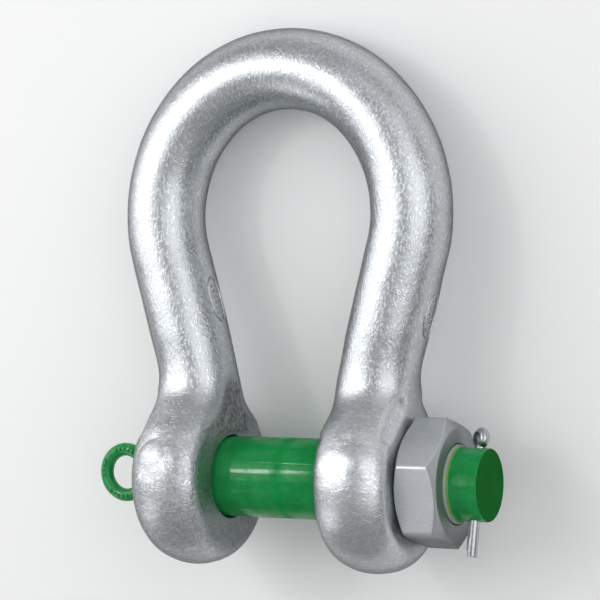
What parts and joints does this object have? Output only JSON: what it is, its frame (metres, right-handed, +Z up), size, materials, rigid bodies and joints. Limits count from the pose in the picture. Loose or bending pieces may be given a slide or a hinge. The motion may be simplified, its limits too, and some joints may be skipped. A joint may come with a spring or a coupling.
{
  "type": "bolt type anchor shackle",
  "caption": "Forged anchor shackle with a wide bow, a round-headed safety bolt through two thick ears, a hexagon nut locked by a split pin, and a lifting eye.",
  "frame": {"origin": "on the bolt's axis, midway between the ears, where the load bears", "axes": "+X along the bolt from its head to its nut; +Y along the ground towards the crown of the bow; +Z up, with the shackle lying on its back"},
  "size_m": [0.5164, 0.6307, 0.211],
  "materials": {
    "galvanised_forging": "hot dip galvanised forging, grainy satin",
    "galvanised_nut": "galvanised, dull satin",
    "bright_zinc": "bright zinc plate",
    "green_paint": "glossy green paint on steel"
  },
  "bodies": {
    "bow": {"bow": "galvanised_forging"},
    "bolt": {"bolt": "green_paint", "lifting_eye": "green_paint"},
    "nut": {"nut": "galvanised_nut"},
    "split_pin": {"split_pin": "bright_zinc"}
  },
  "joints": [
    {"name": "bolt_turn", "type": "hinge", "parent": "bow", "child": "bolt", "pos_m": [0, 0, 0], "axis": [1, 0, 0], "continuous": true},
    {"name": "nut_turn", "type": "hinge", "parent": "bolt", "child": "nut", "pos_m": [0.19055, 0, 0], "axis": [1, 0, 0], "range_deg": [0, 1000]},
    {"name": "split_pin_pull", "type": "slide", "parent": "bolt", "child": "split_pin", "axis": [0, 0.9364, -0.351], "range_m": [0, 0.125]}
  ]
}
